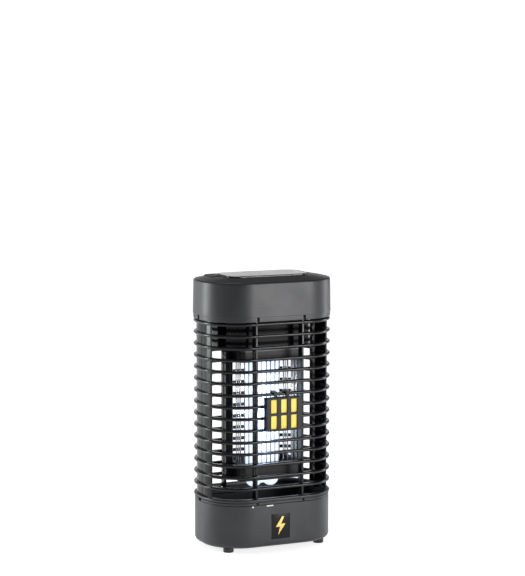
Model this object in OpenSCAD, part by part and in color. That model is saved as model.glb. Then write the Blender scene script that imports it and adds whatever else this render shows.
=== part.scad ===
// Electric bug zapper: a caged upright light trap that stands on its collection tray.
// Millimetres, +Z up, floor at z = 0, front at -Y, centred on X = 0, Y = 0.

/* [Cage] */
// Width of the guard rings, end to end
cage_width = 145; // [120:0.5:175]
// Depth of the guard rings, front to back
cage_depth = 96; // [80:0.5:116]
// Corner radius of the guard rings in plan
corner_radius = 42.3; // [35:0.1:51]
// Number of guard rings above the lower rim
ring_count = 15; // [12:1:18]
// Height from one ring to the next
ring_pitch = 12.3; // [10.2:0.1:14.8]
// Thickness of a ring
ring_thickness = 3; // [2.4:0.1:3.6]
// Width of a ring, from its outer edge inwards
ring_reach = 6; // [5:0.1:7.2]
// Width of an upright rib
rib_width = 2.4; // [2:0.1:3]
// Depth of an upright rib
rib_depth = 8; // [6.5:0.1:9.6]
// How far the ribs stand behind the rings' outer edge
rib_inset = 2.7; // [2.2:0.1:3.3]
// Height of the lower rim
rim_height = 6.4; // [6:0.1:7.5]
// Width of the closed wall at each end, front to back
end_wall_width = 38; // [30:0.5:46]
// Thickness of the end walls
end_wall = 1.8; // [1.4:0.1:2.2]

/* [Cover] */
// Height of the cover's side wall
cover_height = 39.8; // [33:0.1:48]
// Wall of the cover
cover_wall = 2.4; // [2:0.1:3]
// How far the cover overhangs the rings
cover_overhang = 0.7; // [0.4:0.1:1.6]
// Height of the crown above the side wall
crown_height = 5.2; // [4.6:0.1:6.2]
// Height of the band along the cover's lower edge
lip_height = 5; // [4.4:0.1:6]
// Gap between the top ring and the cover
cover_gap = 1.2; // [0.8:0.1:3]

/* [Handle] */
// Distance between the handle's pivots
handle_span = 104; // [90:1:106]
// Reach of the handle from its pivots
handle_reach = 29; // [25:0.5:33]
// Width of the handle's arms and grip, seen from above
handle_width = 8; // [6.5:0.5:9]
// Thickness of the handle
handle_thickness = 5; // [4.4:0.1:6]
// Diameter of the handle's pivot pins
handle_pin_d = 2.6; // [2.2:0.1:2.8]

/* [Tray] */
// Height of the collection tray
tray_height = 45.4; // [38:0.1:54]
// Wall of the collection tray
tray_wall = 2.2; // [1.8:0.1:2.8]
// Floor of the collection tray
tray_floor = 2.5; // [2:0.1:3.2]
// How far the tray stands behind the rings' outer edge
tray_inset = 0.9; // [0.7:0.1:1.1]
// Height of the collar that plugs into the rim
collar_height = 2.5; // [2:0.1:2.6]
// Height of the feet
foot_height = 4.9; // [3.5:0.1:6]
// Diameter of the feet
foot_d = 11; // [9:0.5:12]

/* [Badge] */
// Width of the badge
badge_width = 20.9; // [16:0.1:24]
// Height of the badge
badge_height = 26.1; // [20:0.1:28]
// Thickness of the badge plate
badge_thickness = 1.2; // [1:0.1:1.5]

/* [Lamp and grid] */
// Diameter of one lamp leg
lamp_d = 17.5; // [14:0.5:18.5]
// Distance between the lamp legs' centres
lamp_spacing = 19.4; // [19:0.1:23.5]
// Height of the housing that hangs under the cover
drum_drop = 34; // [30:0.5:38]
// Width between the end wire rows
grid_width = 64; // [60:1:74]
// Depth between the front and back wire rows
grid_depth = 44; // [38:1:46]
// Distance from one grid wire to the next
wire_pitch = 5; // [4.6:0.1:6]
// Diameter of a grid wire
wire_d = 1.2; // [1:0.1:1.5]
// Height of the upper grid frame
frame_height = 11; // [10:0.5:14.5]
// Height of the lower grid frame
lower_frame_height = 17.5; // [14:0.5:20]
// Width of the grid frames' band
frame_band = 6; // [5:0.5:7]

/* [Lure] */
// Width of the lure cartridge
lure_width = 40; // [36:0.5:46]
// Height of the lure cartridge
lure_height = 35; // [34:0.5:42]
// Thickness of the lure cartridge
lure_thickness = 8; // [7:0.5:9.5]
// Ring the lure hangs from, counted from the lowest
lure_ring = 9; // [7:1:10]

/* [Clearances] */
// Gap between the tray's collar and the rim
tray_clearance = 0.3; // [0.2:0.05:0.5]
// Radial gap between a pivot pin and its bore
pivot_clearance = 0.08; // [0.05:0.01:0.1]
// Gap beside a moving piece
moving_clearance = 0.5; // [0.3:0.05:0.8]
// Gap around a fixed piece that drops into another
fit_clearance = 0.1; // [0.05:0.05:0.2]
// Gap between the lure and the ring it hangs on
lure_clearance = 0.3; // [0.2:0.05:0.5]

/* [Hidden] */
$fn = 64;
over = 1;                 // how far a cut runs past the face it opens

// Plan outline: every ring, wall and cover shares these corner centres
end_flat = 4;
corner = min(corner_radius, cage_depth / 2 - end_flat);
flat_x = cage_width / 2 - corner;
flat_y = cage_depth / 2 - corner;
half_x = cage_width / 2;
half_y = cage_depth / 2;

// Heights
tray_top = foot_height + tray_height;
rim_top = tray_top + rim_height;
function ring_z(j) = rim_top - ring_thickness / 2 + ring_pitch * j;
cover_z = ring_z(ring_count) + ring_thickness / 2 + cover_gap;
shoulder_z = cover_z + cover_height;
crown_z = shoulder_z + crown_height;

// Guard
ring_edge = 0.8;
rib_edge_margin = 3.8;
rib_x = flat_x - rib_edge_margin;
rib_foot_z = tray_top + collar_height + moving_clearance;
rib_hook_reach = 1.2;
rib_hook_height = 2.2;
end_wall_inset = rib_inset + 0.3;
rim_groove = 0.7;         // height of the groove under the rim's ring
rim_groove_depth = 0.9;
rim_latch_width = 6;
rim_window_width = 2.6;

// Cover
cover_out = cover_overhang;
cover_draft = 0.6;
cover_ceiling = shoulder_z - 4.2;
lip_step = 0.5;
notch_width = rib_width + 1.6;
notch_height = 5;
shoulder_r = 2.4;
crown_steps = 8;
deck_margin = 2;
deck_front = 24;
deck_r = 12;
deck_rise = 0.6;
press_gap = 0.02;

// Handle
pivot_x = handle_span / 2;
handle_sink = 1.2;        // how far the folded handle lies below the crown
pivot_z = crown_z - handle_sink - handle_thickness / 2;
handle_low = pivot_z - handle_thickness / 2;
pin_r = handle_pin_d / 2;
arm_in = pivot_x - handle_width / 2;
arm_out = pivot_x + handle_width / 2;
pin_grip = 2;           // length of a pin held in each wall of the well
pin_in = arm_in - moving_clearance - pin_grip;
pin_length = handle_width + 2 * (moving_clearance + pin_grip);
thumb_half = 14;          // thumb recess behind the grip
thumb_reach = 5;
thumb_r = 3;
grip_corner = 10;
deck_x = arm_in - deck_margin;
deck_back = handle_reach - handle_width / 2 - deck_margin;

// Housing and what it carries
pan_thickness = 3;
pan_z = cover_z + 4;
drum_z = cover_z - drum_drop + 2;
drum_wall = 2;
drum_share = 0.262;       // how far the drum stands in, as a share of the cage's half width
post_width = 8;
frame_half_x = grid_width / 2 + frame_band / 2 + 1;
post_in = frame_half_x;
post_out = post_in + post_width;
drum_inset = min(half_x * drum_share, half_x - post_out - drum_wall - moving_clearance);
drum_half_x = half_x - drum_inset;
drum_half_y = half_y - drum_inset;
boss_ring = corner - 8.5;
boss_angle = 15;
boss_x = flat_x + boss_ring * cos(boss_angle);
boss_y = flat_y + boss_ring * sin(boss_angle);
boss_r = 4;
screw_r = 1.5;
screw_head_r = 3;
screw_head_h = 2.2;
screw_length = 12;
board_gap = 5;
board_z = pan_z + pan_thickness + board_gap;
board_thickness = 1.6;
board_half_x = drum_half_x - 3;
board_half_y = drum_half_y - 3;
board_post_ring = corner - drum_inset - drum_wall + 0.4;
board_post_angle = 41;
board_post_x = flat_x + board_post_ring * cos(board_post_angle);
board_post_y = flat_y + board_post_ring * sin(board_post_angle);
board_post_r = 2.5;
board_screw_r = 1.2;
board_top = board_z + board_thickness;
board_screw_head_r = 2.2;
board_screw_head_h = 1.6;
board_screw_length = 5.5;
board_screw_depth = 6;
core_x = -26;             // transformer: laminated core across a winding
core_half = [14, 11];
core_height = 18;
winding_half = [16, 7];
winding_height = 16;
choke_x = 17;
choke_base_half = [11, 10];
choke_base_height = 3;
choke_r = 9;
choke_height = 13;
capacitor_x = 36;
capacitor_step = [3, 14];
capacitor_r = 4.5;
capacitor_height = 15;

// Posts and grid
post_depth = 10;
frame_half_y = grid_depth / 2 + frame_band / 2;
bus_thickness = 0.8;
bus_gap = 1.2;
bus_edge = 1;             // how far a strip stays inside its frame's edges
bus_tab = [2, 3];         // overlap and half width of the strip's tab
upper_frame_z = drum_z - bus_thickness - bus_gap - frame_height;
lower_frame_z = rim_top + 15.3;
lower_frame_top = lower_frame_z + lower_frame_height;
upper_frame_top = upper_frame_z + frame_height;
wire_seat = 4;
wire_r = wire_d / 2;
wires_long = floor((grid_width / 2 - 2) / wire_pitch);
wires_short = floor((grid_depth / 2 - 6) / wire_pitch);
frame_screw_r = 1;
frame_screw_y = 3;
frame_screw_head_r = 1.7;
frame_screw_head_h = 1.2;
frame_screw_bite = 4;
frame_corner = 6;
frame_inner_corner = 3;
frame_screw_z = [lower_frame_z + lower_frame_height / 2, upper_frame_z + frame_height / 2];
post_screw_x = post_in + 2.4;
post_screw_head_r = 2.8;
post_screw_head_h = 2;
post_screw_bite = 8;
lead_r = 1.2;
live_lead_x = frame_half_x - frame_band / 2;
return_lead_x = post_out - lead_r - fit_clearance;

// Lamp
leg_x = lamp_spacing / 2;
leg_r = lamp_d / 2;
lamp_tip_z = tray_top + 9.7;
lamp_cap_half_x = leg_x + leg_r + 1;
lamp_cap_half_y = leg_r + 1.4;
lamp_cap_low = drum_z - 9;
lamp_cap_high = drum_z + 8;
lamp_pin_r = 1.2;
lamp_pin_x = 11.5;
lamp_pin_length = 13;
lamp_cap_top = 3;         // closed top of the lamp's cap
lamp_bridge_share = 0.6;  // bridge between the legs, as a share of their radius
holder_r = 3;
holder_half_x = lamp_cap_half_x + 5;
holder_half_y = lamp_cap_half_y + 5;
holder_high = lamp_cap_high + lamp_pin_length + 4;

// Cord inlet on the back of the cover
inlet_bore_r = 3.6;
inlet_neck_r = 6;
inlet_flange_r = 8.5;
inlet_z = cover_z + 17;
inlet_reach = lure_thickness - cover_out + lure_clearance;
inlet_inside = 6;
inlet_flange_t = 2;
inlet_clamp_t = 3;
inlet_face = half_y + cover_out;

// Tray
tray_fillet = 4;
foot_ring = corner - tray_inset - tray_fillet - foot_d / 2 + 0.9;
foot_angle = 48;
collar_root = 4;          // how far the collar runs down inside the tray's wall
badge_margin = 1;
badge_z = foot_height + 8.2;
badge_proud = 0.4;
emblem_thickness = 0.5;
badge_face = half_y - tray_inset;

// Lure
lure_y = half_y + lure_clearance;
lure_drop = 2.2;
lure_top_z = ring_z(lure_ring) - lure_drop;
lure_low_z = lure_top_z - lure_height;
window_w = 7.1;
window_h = 14.2;
window_px = 11.4;
window_pz = 16.8;
lure_back_t = 1.6;
lure_face_t = 1.6;
hook_x = 7;
hook_width = 4;
hook_t = 1.6;
hook_drop = 3;
lure_rim = 2;

// Marks on the tray's upper edge
mark_depth = 0.5;
mark_r = 1;
mark_z = tray_top - 0.4 - mark_r;
mark_dot_x = rib_x + 5.2;
mark_dash_x = 12.2;
mark_dash_w = 7.8;
mark_dash_h = 1.4;

// ---------------------------------------------------------------- shapes

// Carries a profile (x from the corner centres outwards, y up) round the plan
module around() {
    for (sx = [0, 1], sy = [0, 1])
        mirror([sx, 0, 0]) mirror([0, sy, 0])
            translate([flat_x, flat_y, 0]) rotate_extrude(angle = 90) children();
    for (s = [0, 1])
        mirror([0, s, 0]) translate([-flat_x, flat_y, 0])
            rotate([90, 0, 90]) linear_extrude(2 * flat_x) children();
    for (s = [0, 1])
        mirror([s, 0, 0]) translate([flat_x, flat_y, 0])
            rotate([90, 0, 0]) linear_extrude(2 * flat_y) children();
}

// Full slab whose side stands o outside the rings' edge
module slab(o, z0, h) {
    around() translate([0, z0]) square([corner + o, h]);
    translate([-flat_x, -flat_y, z0]) cube([2 * flat_x, 2 * flat_y, h]);
}

// Band between two offsets from the rings' edge
module band(o_in, o_out, z0, h) {
    around() translate([corner + o_in, z0]) square([o_out - o_in, h]);
}

// Block with upright rounded edges
module round_block(hx, hy, r, z0, h) {
    translate([-hx + r, -hy, z0]) cube([2 * (hx - r), 2 * hy, h]);
    translate([-hx, -hy + r, z0]) cube([2 * hx, 2 * (hy - r), h]);
    for (x = [-hx + r, hx - r], y = [-hy + r, hy - r])
        translate([x, y, z0]) cylinder(r = r, h = h);
}

module box(x0, x1, y0, y1, z0, z1) {
    translate([x0, y0, z0]) cube([x1 - x0, y1 - y0, z1 - z0]);
}

module both_x() { for (s = [0, 1]) mirror([s, 0, 0]) children(); }
module both_y() { for (s = [0, 1]) mirror([0, s, 0]) children(); }

// Places of the four long ribs: g widens them, z0 to z1 is their height
module long_rib_bars(g, z0, z1)
    both_x() both_y()
        box(rib_x - rib_width / 2 - g, rib_x + rib_width / 2 + g,
            half_y - rib_inset - rib_depth - g, half_y - rib_inset, z0, z1);

// Places of the two end ribs
module end_rib_bars(g, z0, z1)
    both_x()
        box(half_x - rib_inset - rib_depth - g, half_x - rib_inset,
            -rib_width / 2 - g, rib_width / 2 + g, z0, z1);

module rib_bars(g, z0, z1) {
    long_rib_bars(g, z0, z1);
    end_rib_bars(g, z0, z1);
}

// Curved strip at each end between two offsets from the rings' edge
module end_strip(o_in, o_out, g, z0, h)
    intersection() {
        band(o_in, o_out, z0, h);
        both_x() box(flat_x, half_x + over, -end_wall_width / 2 - g, end_wall_width / 2 + g,
                     z0 - over, z0 + h + over);
    }

// ---------------------------------------------------------------- cover

module cover_outside() {
    r0 = corner + cover_out;
    r1 = r0 - cover_draft;
    xc = r1 - shoulder_r;
    zc = shoulder_z + shoulder_r * 0.45;
    profile = concat(
        [[0, cover_z], [r0, cover_z], [r1, shoulder_z - shoulder_r * 0.55],
         [r1 - shoulder_r * 0.3, shoulder_z + shoulder_r * 0.1]],
        [for (i = [crown_steps : -1 : 0])
            [xc * i / crown_steps, crown_z - (crown_z - zc) * pow(i / crown_steps, 2)]]);
    around() polygon(profile);
    translate([-flat_x, -flat_y, cover_z])
        cube([2 * flat_x, 2 * flat_y, crown_z - cover_z]);
}

// Folded handle: two arms, two rounded corners and the grip
module handle_bow() {
    w = handle_width;
    xo = pivot_x + w / 2;
    yo = handle_reach + w / 2;
    both_x() {
        box(pivot_x - w / 2, xo, 0, yo - grip_corner, handle_low, handle_low + handle_thickness);
        translate([xo - grip_corner, yo - grip_corner, handle_low])
            rotate_extrude(angle = 90) translate([grip_corner - w, 0])
                square([w, handle_thickness]);
        translate([pivot_x - w / 2, 0, pivot_z])
            rotate([0, 90, 0]) cylinder(r = handle_thickness / 2, h = w);
    }
    box(-xo + grip_corner, xo - grip_corner, yo - w, yo,
        handle_low, handle_low + handle_thickness);
}

module top_cover() color("#26282b")
    difference() {
        union() {
            difference() {
                cover_outside();
                slab(cover_out - cover_wall, cover_z - over, cover_ceiling - cover_z + over);
                // set-back band along the lower edge
                band(cover_out - lip_step, cover_out + over, cover_z - over, lip_height + over);
                // well the folded handle lies in
                both_x() box(arm_in - moving_clearance, arm_out + moving_clearance,
                             -handle_thickness / 2 - moving_clearance * 2,
                             handle_reach + handle_width / 2 + moving_clearance,
                             handle_low - moving_clearance, crown_z + over);
                box(-pivot_x, pivot_x, handle_reach - handle_width / 2 - moving_clearance,
                    handle_reach + handle_width / 2 + moving_clearance,
                    handle_low - moving_clearance, crown_z + over);
                // room for the handle's inner corners
                both_x() box(arm_in - 2 * moving_clearance, arm_in,
                             handle_reach - handle_width / 2 - 2 * moving_clearance,
                             handle_reach, handle_low - moving_clearance, crown_z + over);
                translate([0, handle_reach + handle_width / 2, 0])
                    round_block(thumb_half, thumb_reach + moving_clearance, thumb_r,
                                handle_low - moving_clearance, crown_z);
            }
            // raised deck inside the handle
            translate([0, (deck_back - deck_front) / 2, 0])
                round_block(deck_x, (deck_front + deck_back) / 2, deck_r,
                            cover_ceiling + 2, crown_z + deck_rise - cover_ceiling - 2);
            // bosses the chassis screws bite into
            both_x() both_y() translate([boss_x, boss_y, pan_z + pan_thickness])
                cylinder(r = boss_r, h = cover_ceiling - pan_z - pan_thickness + over);
        }
        // notches over the ribs
        both_x() both_y()
            box(rib_x - notch_width / 2, rib_x + notch_width / 2,
                half_y - cover_wall * 2, half_y + cover_out + over,
                cover_z - over, cover_z + notch_height);
        both_x() box(half_x - cover_wall * 2, half_x + cover_out + over,
                     -notch_width / 2, notch_width / 2, cover_z - over, cover_z + notch_height);
        // pivot bores
        both_x() translate([pin_in, 0, pivot_z])
            rotate([0, 90, 0]) cylinder(r = pin_r + press_gap, h = pin_length);
        // screw pilots
        both_x() both_y() translate([boss_x, boss_y, pan_z])
            cylinder(r = screw_r + fit_clearance / 2, h = pan_thickness + screw_length);
        // hole for the cord inlet
        translate([0, inlet_face - cover_wall * 2, inlet_z])
            rotate([-90, 0, 0]) cylinder(r = inlet_neck_r + fit_clearance / 2, h = cover_wall * 4);
    }

module carry_handle() color("#1f2022")
    difference() {
        handle_bow();
        both_x() translate([arm_in - over, 0, pivot_z])
            rotate([0, 90, 0]) cylinder(r = pin_r + pivot_clearance, h = handle_width + 2 * over);
    }

module handle_pins() color("#b9bcc0")
    both_x() translate([pin_in, 0, pivot_z])
        rotate([0, 90, 0]) cylinder(r = pin_r, h = pin_length);

module cord_inlet_bush() color("#17181a")
    translate([0, inlet_face, inlet_z]) rotate([-90, 0, 0])
        difference() {
            union() {
                translate([0, 0, -cover_wall - inlet_inside])
                    cylinder(r = inlet_neck_r, h = cover_wall + inlet_inside + inlet_reach);
                cylinder(r = inlet_flange_r, h = inlet_flange_t);
                translate([0, 0, -cover_wall - inlet_clamp_t])
                    cylinder(r = inlet_flange_r, h = inlet_clamp_t);
            }
            translate([0, 0, -cover_wall - inlet_inside - over])
                cylinder(r = inlet_bore_r,
                         h = cover_wall + inlet_inside + inlet_reach + 2 * over);
        }

// ---------------------------------------------------------------- housing

module chassis_pan() color("#141517")
    difference() {
        union() {
            difference() {
                slab(cover_out - cover_wall - fit_clearance, pan_z, pan_thickness);
                rib_bars(fit_clearance, pan_z - over, pan_z + pan_thickness + over);
                // open each rib slot to the edge, past the rib's outer face
                both_x() both_y()
                    box(rib_x - rib_width / 2 - fit_clearance, rib_x + rib_width / 2 + fit_clearance,
                        half_y - rib_inset - over, half_y + cover_out,
                        pan_z - over, pan_z + pan_thickness + over);
                both_x() box(half_x - rib_inset - over, half_x + cover_out,
                             -rib_width / 2 - fit_clearance, rib_width / 2 + fit_clearance,
                             pan_z - over, pan_z + pan_thickness + over);
            }
            slab(-drum_inset, drum_z, pan_z + pan_thickness - drum_z);
            // posts under the circuit board
            both_x() both_y() translate([board_post_x, board_post_y, pan_z])
                cylinder(r = board_post_r, h = board_z - pan_z);
        }
        difference() {
            slab(-drum_inset - drum_wall, drum_z + drum_wall, pan_z + pan_thickness - drum_z);
            both_x() both_y() translate([board_post_x, board_post_y, pan_z])
                cylinder(r = board_post_r, h = board_z - pan_z + over);
        }
        // opening the lamp's cap plugs through
        round_block(lamp_cap_half_x + moving_clearance, lamp_cap_half_y + moving_clearance,
                    lamp_cap_half_y, drum_z - over, drum_wall + 2 * over);
        // holes for the two leads
        for (x = [live_lead_x, -return_lead_x]) translate([x, 0, drum_z - over])
            cylinder(r = lead_r + fit_clearance, h = drum_wall + over);
        // screw holes
        both_x() both_y() translate([boss_x, boss_y, pan_z - over])
            cylinder(r = screw_r + fit_clearance, h = pan_thickness + 2 * over);
        both_x() translate([post_screw_x, 0, drum_z - over])
            cylinder(r = screw_r + fit_clearance, h = drum_wall + 2 * over);
        both_x() both_y() translate([board_post_x, board_post_y, board_z - board_screw_depth])
            cylinder(r = board_screw_r + fit_clearance / 2, h = board_screw_depth + over);
    }

// Pan-head screw pointing up, its head's top face at the origin
module screw(r, head_r, head_h, length) {
    cylinder(r = r, h = length);
    translate([0, 0, -head_h]) cylinder(r = head_r, h = head_h);
}

module chassis_screws() color("#8d9094")
    both_x() both_y() translate([boss_x, boss_y, pan_z])
        screw(screw_r, screw_head_r, screw_head_h, screw_length);

module circuit_board() color("#2f6b3c")
    difference() {
        box(-board_half_x, board_half_x, -board_half_y, board_half_y, board_z, board_top);
        both_x() both_y() translate([board_post_x, board_post_y, board_z - over])
            cylinder(r = board_screw_r + fit_clearance, h = board_thickness + 2 * over);
    }

module board_screws() color("#8d9094")
    both_x() both_y() translate([board_post_x, board_post_y, board_top])
        mirror([0, 0, 1])
            screw(board_screw_r, board_screw_head_r, board_screw_head_h, board_screw_length);

module hv_transformer() color("#8a5a2b")
    translate([core_x, 0, 0]) {
        box(-core_half[0], core_half[0], -core_half[1], core_half[1],
            board_top, board_top + core_height);
        box(-winding_half[0], winding_half[0], -winding_half[1], winding_half[1],
            board_top, board_top + winding_height);
    }

module ballast_choke() color("#3c3f44") {
    box(choke_x - choke_base_half[0], choke_x + choke_base_half[0],
        -choke_base_half[1], choke_base_half[1], board_top, board_top + choke_base_height);
    translate([choke_x, 0, board_top + choke_base_height])
        cylinder(r = choke_r, h = choke_height);
}

module capacitors() color("#b98a2e") {
    for (i = [-1 : 1])
        translate([capacitor_x + capacitor_step[0] * (1 - abs(i)), capacitor_step[1] * i, board_top])
            cylinder(r = capacitor_r, h = capacitor_height);
}

// ---------------------------------------------------------------- lamp

module lamp_holder() color("#e8e6df")
    difference() {
        round_block(holder_half_x, holder_half_y, holder_r, drum_z + drum_wall,
                    holder_high - drum_z - drum_wall);
        round_block(lamp_cap_half_x + moving_clearance, lamp_cap_half_y + moving_clearance,
                    lamp_cap_half_y, drum_z + drum_wall - over,
                    lamp_cap_high + moving_clearance - drum_z - drum_wall + over);
        both_x() translate([lamp_pin_x, 0, lamp_cap_high - over])
            cylinder(r = lamp_pin_r + pivot_clearance, h = lamp_pin_length + 2 * over);
    }

module lamp_cap() color("#f2f1ec")
    difference() {
        round_block(lamp_cap_half_x, lamp_cap_half_y, lamp_cap_half_y - 0.5,
                    lamp_cap_low, lamp_cap_high - lamp_cap_low);
        both_x() translate([leg_x, 0, lamp_cap_low - over])
            cylinder(r = leg_r + fit_clearance / 2,
                     h = lamp_cap_high - lamp_cap_low - lamp_cap_top + over);
        both_x() translate([lamp_pin_x, 0, lamp_cap_high - lamp_cap_top])
            cylinder(r = lamp_pin_r, h = lamp_cap_top + over);
    }

module lamp_pins() color("#c9b26a")
    both_x() translate([lamp_pin_x, 0, lamp_cap_high - lamp_cap_top])
        cylinder(r = lamp_pin_r, h = lamp_pin_length + lamp_cap_top);

module lamp_tubes() color("#eef4ff") {
    both_x() {
        translate([leg_x, 0, lamp_tip_z + leg_r])
            cylinder(r = leg_r, h = lamp_cap_high - lamp_cap_top - lamp_tip_z - leg_r);
        translate([leg_x, 0, lamp_tip_z + leg_r]) sphere(r = leg_r);
    }
    translate([-leg_x, 0, lamp_tip_z + leg_r]) rotate([0, 90, 0])
        cylinder(r = leg_r * lamp_bridge_share, h = lamp_spacing);
}

// ---------------------------------------------------------------- guard

module ring_profile() {
    r = corner;
    t = ring_thickness / 2;
    polygon([[r - ring_reach, -t], [r - ring_edge, -t], [r, -t + ring_edge],
             [r, t - ring_edge], [r - ring_edge, t], [r - ring_reach, t]]);
}

// Room behind each ring's end for the end walls
module end_wall_slot(z0, h)
    end_strip(-ring_reach - over, -end_wall_inset + fit_clearance, fit_clearance, z0, h);

module guard_rings() color("#1b1c1e")
    for (j = [1 : ring_count])
        difference() {
            translate([0, 0, ring_z(j)]) around() ring_profile();
            rib_bars(fit_clearance, ring_z(j) - ring_thickness, ring_z(j) + ring_thickness);
            end_wall_slot(ring_z(j) - ring_thickness, 2 * ring_thickness);
        }

module guard_ribs() color("#1b1c1e")
    union() {
        long_rib_bars(0, rib_foot_z, pan_z + pan_thickness + rib_hook_height);
        // inward hooks that hold the chassis pan down
        both_x() both_y()
            box(rib_x - rib_width / 2, rib_x + rib_width / 2,
                half_y - rib_inset - rib_depth - rib_hook_reach, half_y - rib_inset,
                pan_z + pan_thickness, pan_z + pan_thickness + rib_hook_height);
    }

// Closed wall at each end of the cage, with the end rib moulded on it
module end_walls() color("#1b1c1e")
    union() {
        end_strip(-end_wall_inset - end_wall, -end_wall_inset, 0,
                  rib_foot_z, pan_z - fit_clearance - rib_foot_z);
        end_rib_bars(0, rib_foot_z, pan_z + pan_thickness + rib_hook_height);
        both_x()
            box(half_x - rib_inset - rib_depth - rib_hook_reach, half_x - rib_inset,
                -rib_width / 2, rib_width / 2,
                pan_z + pan_thickness, pan_z + pan_thickness + rib_hook_height);
    }

module guard_rim() color("#1b1c1e")
    difference() {
        union() {
            band(-rib_inset, -tray_inset, tray_top, rim_height - ring_thickness - rim_groove);
            band(-rib_inset, -tray_inset - rim_groove_depth, tray_top,
                 rim_height - ring_thickness + ring_edge);
            translate([0, 0, rim_top - ring_thickness / 2]) around() ring_profile();
        }
        rib_bars(fit_clearance, rib_foot_z - moving_clearance, rim_top + over);
        end_wall_slot(rib_foot_z - moving_clearance, rim_height);
        // windows under the long ribs and latch openings at the ends
        both_x() both_y()
            box(rib_x - rim_window_width / 2, rib_x + rim_window_width / 2,
                half_y - rib_inset - over, half_y, tray_top + rim_groove, rim_top - ring_thickness);
        both_x() box(half_x - rib_inset - over, half_x, -rim_latch_width / 2, rim_latch_width / 2,
                     tray_top - over, rim_top - ring_thickness);
    }

// Dot and dash let into the tray's front; cut is how far a seat runs out through the face
module mark_shapes(cut) {
    translate([-mark_dot_x, -badge_face - cut, mark_z])
        rotate([-90, 0, 0]) cylinder(r = mark_r, h = mark_depth + cut);
    box(-mark_dash_x - mark_dash_w / 2, -mark_dash_x + mark_dash_w / 2,
        -badge_face - cut, -badge_face + mark_depth,
        mark_z - mark_dash_h / 2, mark_z + mark_dash_h / 2);
}

module seam_marks() color("#e9e6dc") {
    mark_shapes(0);
}

// ---------------------------------------------------------------- grid

module post_bar()
    difference() {
        box(post_in, post_out, -post_depth / 2, post_depth / 2, lower_frame_z, drum_z);
        // pilot for the screw from the housing's floor
        translate([post_screw_x, 0, drum_z - post_screw_bite - over])
            cylinder(r = screw_r + fit_clearance / 2, h = post_screw_bite + 2 * over);
        // holes for the frame screws
        for (z = frame_screw_z) for (y = [-frame_screw_y, frame_screw_y])
            translate([post_in - over, y, z])
                rotate([0, 90, 0]) cylinder(r = frame_screw_r + fit_clearance, h = post_width + 2 * over);
    }

module post_right() color("#2a2b2e") post_bar();

module post_left() color("#2a2b2e")
    difference() {
        mirror([1, 0, 0]) post_bar();
        // channel for the return lead
        box(-post_out - over, -return_lead_x + lead_r + fit_clearance,
            -lead_r - fit_clearance, lead_r + fit_clearance,
            lower_frame_z - over, drum_z + over);
    }

module post_screws() color("#8d9094")
    both_x() translate([post_screw_x, 0, drum_z + drum_wall])
        mirror([0, 0, 1])
            screw(screw_r, post_screw_head_r, post_screw_head_h, drum_wall + post_screw_bite);

module frame_screws() color("#8d9094")
    both_x() for (z = frame_screw_z, y = [-frame_screw_y, frame_screw_y])
        translate([post_out, y, z]) rotate([0, -90, 0])
            screw(frame_screw_r, frame_screw_head_r, frame_screw_head_h,
                  post_width + frame_screw_bite);

// One wire at each place of the rows: parity 0 live, 1 return
module wire_places(parity) {
    for (i = [-wires_long : wires_long], s = [-1, 1])
        if ((i + wires_long + (s + 1) / 2) % 2 == parity)
            translate([i * wire_pitch, s * grid_depth / 2, 0]) rotate([0, 0, s * 90 - 90]) children();
    for (i = [-wires_short : wires_short], s = [-1, 1])
        if ((i + wires_short + (s + 1) / 2) % 2 == parity && i != 0)
            translate([s * grid_width / 2, i * wire_pitch, 0]) rotate([0, 0, s * 90]) children();
}

module frame_band_shape(z0, h)
    difference() {
        round_block(frame_half_x, frame_half_y, frame_corner, z0, h);
        round_block(frame_half_x - frame_band, frame_half_y - frame_band, frame_inner_corner,
                    z0 - over, h + 2 * over);
    }

module frame_screw_pilots(z)
    both_x() for (y = [-frame_screw_y, frame_screw_y])
        translate([frame_half_x - frame_screw_bite - fit_clearance, y, z])
            rotate([0, 90, 0]) cylinder(r = frame_screw_r + fit_clearance / 2,
                                        h = frame_screw_bite + fit_clearance + over);

module upper_grid_frame() color("#3a3b3e")
    difference() {
        frame_band_shape(upper_frame_z, frame_height);
        // live wires run right through, return wires stop inside
        wire_places(0) wire_slot(upper_frame_z - over, upper_frame_top + over);
        wire_places(1) wire_slot(upper_frame_z - over, upper_frame_z + wire_seat);
        frame_screw_pilots(frame_screw_z[1]);
    }

module lower_grid_frame() color("#3a3b3e")
    difference() {
        frame_band_shape(lower_frame_z, lower_frame_height);
        wire_places(0) wire_slot(lower_frame_top - wire_seat, lower_frame_top + over);
        wire_places(1) wire_slot(lower_frame_z - over, lower_frame_top + over);
        frame_screw_pilots(frame_screw_z[0]);
    }

// Open-sided seat for one wire; the open side faces +X here
module wire_slot(z0, z1)
    box(-wire_r - fit_clearance / 2, frame_band + over,
        -wire_r - fit_clearance / 2, wire_r + fit_clearance / 2, z0, z1);

module live_wires() color("#c4c7cb")
    wire_places(0) translate([0, 0, lower_frame_top - wire_seat])
        cylinder(r = wire_r, h = upper_frame_top - lower_frame_top + wire_seat);

module return_wires() color("#a9acb0")
    wire_places(1) translate([0, 0, lower_frame_z])
        cylinder(r = wire_r, h = upper_frame_z + wire_seat - lower_frame_z);

module bus_strip(z0)
    difference() {
        round_block(frame_half_x - bus_edge, frame_half_y - bus_edge, frame_corner - bus_edge,
                    z0, bus_thickness);
        round_block(frame_half_x - frame_band + bus_edge, frame_half_y - frame_band + bus_edge,
                    frame_inner_corner, z0 - over, bus_thickness + 2 * over);
    }

module live_bus() color("#c9a24a") bus_strip(upper_frame_top);

module return_bus() color("#c9a24a") {
    bus_strip(lower_frame_z - bus_thickness);
    box(-post_out, -frame_half_x + bus_tab[0], -bus_tab[1], bus_tab[1],
        lower_frame_z - bus_thickness, lower_frame_z);
}

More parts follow.
